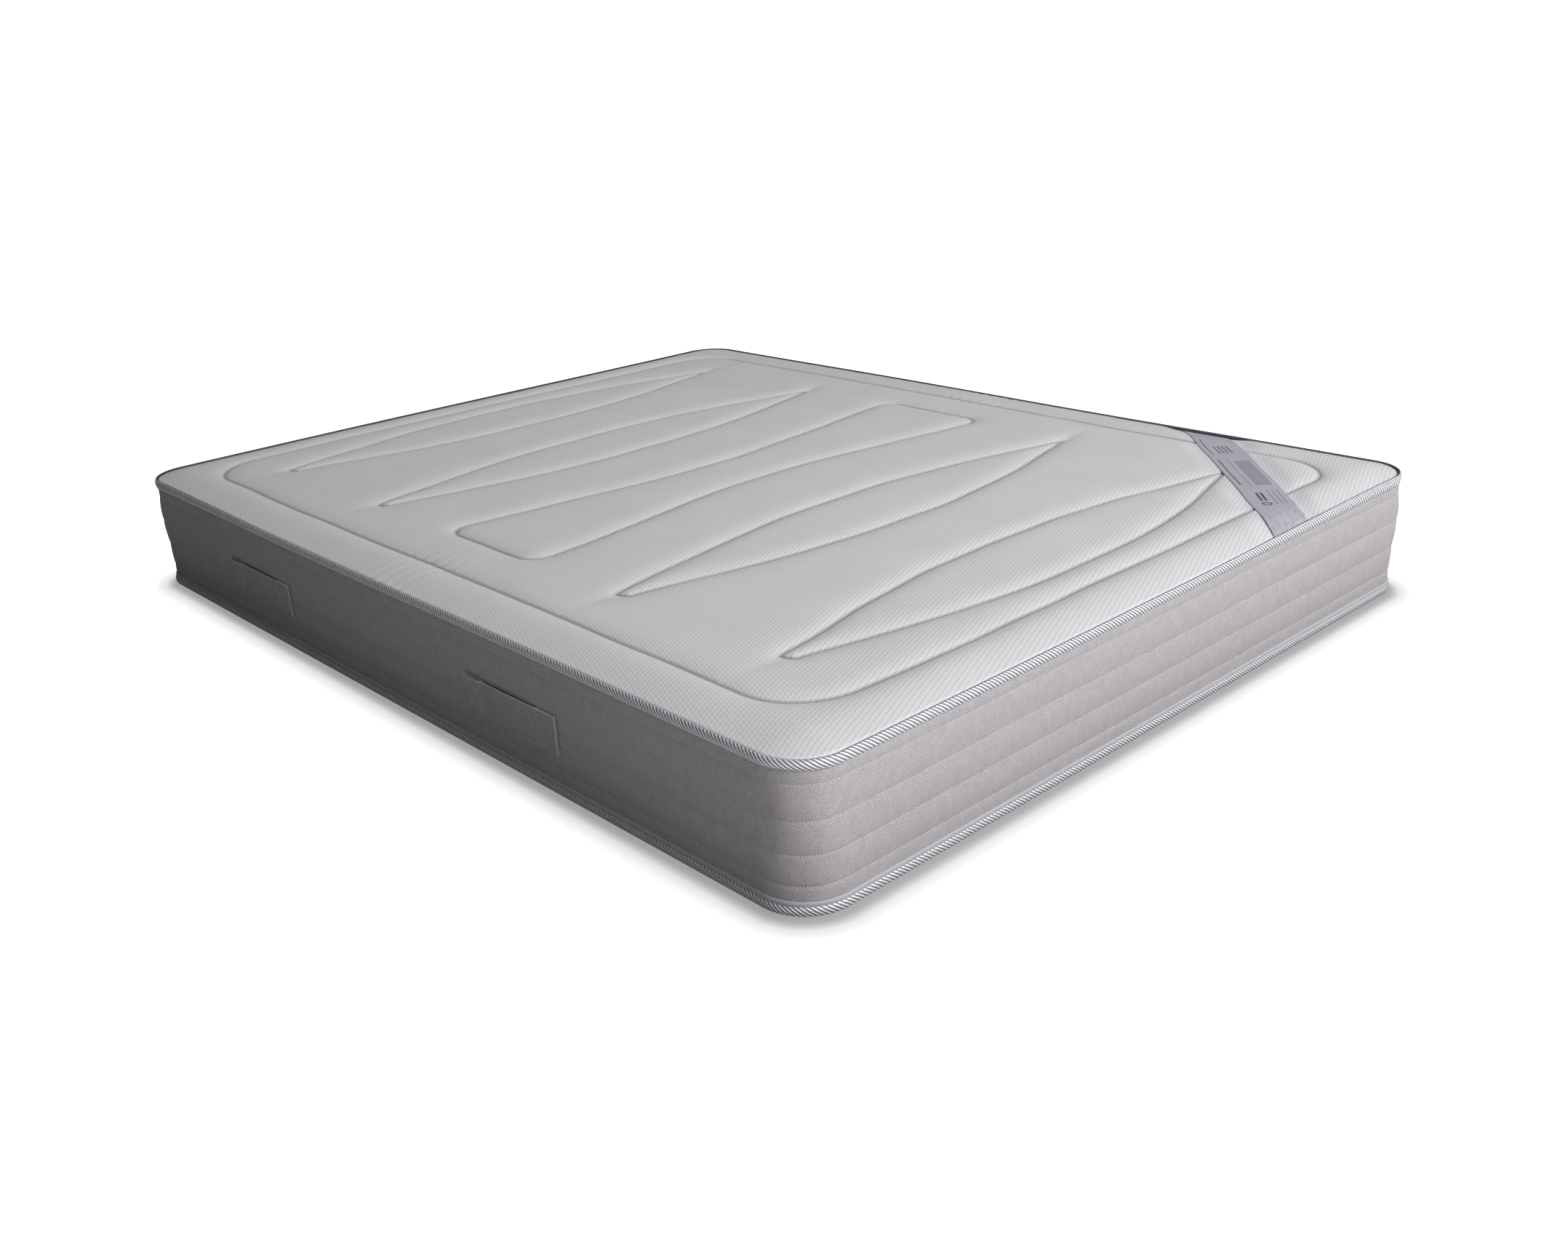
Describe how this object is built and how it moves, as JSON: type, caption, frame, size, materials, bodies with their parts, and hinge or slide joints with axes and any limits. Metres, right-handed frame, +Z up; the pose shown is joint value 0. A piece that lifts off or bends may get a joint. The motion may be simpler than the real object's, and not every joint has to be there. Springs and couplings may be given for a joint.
{
  "type": "pressure relief mattress",
  "caption": "Rectangular pressure relief mattress with a quilted knit top, woven border, piped edge tapes, carry straps on its long sides and a ribbon sewn across one corner.",
  "frame": {"origin": "middle of the underside, where the mattress rests", "axes": "+Z up, +Y along the 2 m length, +X across the width; the ribbon lies across the +X, -Y corner"},
  "size_m": [1.612, 2, 0.2409],
  "materials": {
    "knitted_cover": "matte",
    "base_fabric": "matte",
    "quilt_filling": "matte",
    "backing_cloth": "matte",
    "core_foam": "matte",
    "memory_foam": "matte",
    "border_weave": "matte",
    "handle_weave": "matte",
    "edge_tape": "satin",
    "sewing_thread": "matte",
    "satin_ribbon": "satin"
  },
  "bodies": {
    "mattress": {"base_cover": "base_fabric", "base_quilt_backing": "backing_cloth", "base_quilt_stitching": "sewing_thread", "base_quilt_wadding": "quilt_filling", "border_backing": "backing_cloth", "border_fabric": "border_weave", "border_foam": "quilt_filling", "border_stitching": "sewing_thread", "bottom_edge_tape": "edge_tape", "bottom_tape_thread": "sewing_thread", "handle_backing_patches": "backing_cloth", "handle_ends_left_front": "handle_weave", "handle_ends_left_rear": "handle_weave", "handle_ends_right_front": "handle_weave", "handle_ends_right_rear": "handle_weave", "handle_stitching_left_front": "sewing_thread", "handle_stitching_left_rear": "sewing_thread", "handle_stitching_right_front": "sewing_thread", "handle_stitching_right_rear": "sewing_thread", "label_ribbon_ends": "satin_ribbon", "memory_foam_layer": "memory_foam", "support_core": "core_foam", "top_cover": "knitted_cover", "top_edge_tape": "edge_tape", "top_quilt_backing": "backing_cloth", "top_quilt_foam": "quilt_filling", "top_quilt_stitching": "sewing_thread", "top_tape_thread": "sewing_thread"},
    "handle_left_front": {"handle_strap_left_front": "handle_weave"},
    "handle_left_rear": {"handle_strap_left_rear": "handle_weave"},
    "handle_right_front": {"handle_strap_right_front": "handle_weave"},
    "handle_right_rear": {"handle_strap_right_rear": "handle_weave"},
    "ribbon": {"label_ribbon": "satin_ribbon"}
  },
  "joints": [
    {"name": "handle_left_front_pull", "type": "slide", "parent": "mattress", "child": "handle_left_front", "axis": [-1, 0, 0], "range_m": [0, 0.02]},
    {"name": "handle_left_rear_pull", "type": "slide", "parent": "mattress", "child": "handle_left_rear", "axis": [-1, 0, 0], "range_m": [0, 0.02]},
    {"name": "handle_right_front_pull", "type": "slide", "parent": "mattress", "child": "handle_right_front", "axis": [1, 0, 0], "range_m": [0, 0.02]},
    {"name": "handle_right_rear_pull", "type": "slide", "parent": "mattress", "child": "handle_right_rear", "axis": [1, 0, 0], "range_m": [0, 0.02]},
    {"name": "label_ribbon_lift", "type": "slide", "parent": "mattress", "child": "ribbon", "axis": [0, 0, 1], "range_m": [0, 0.02]}
  ]
}
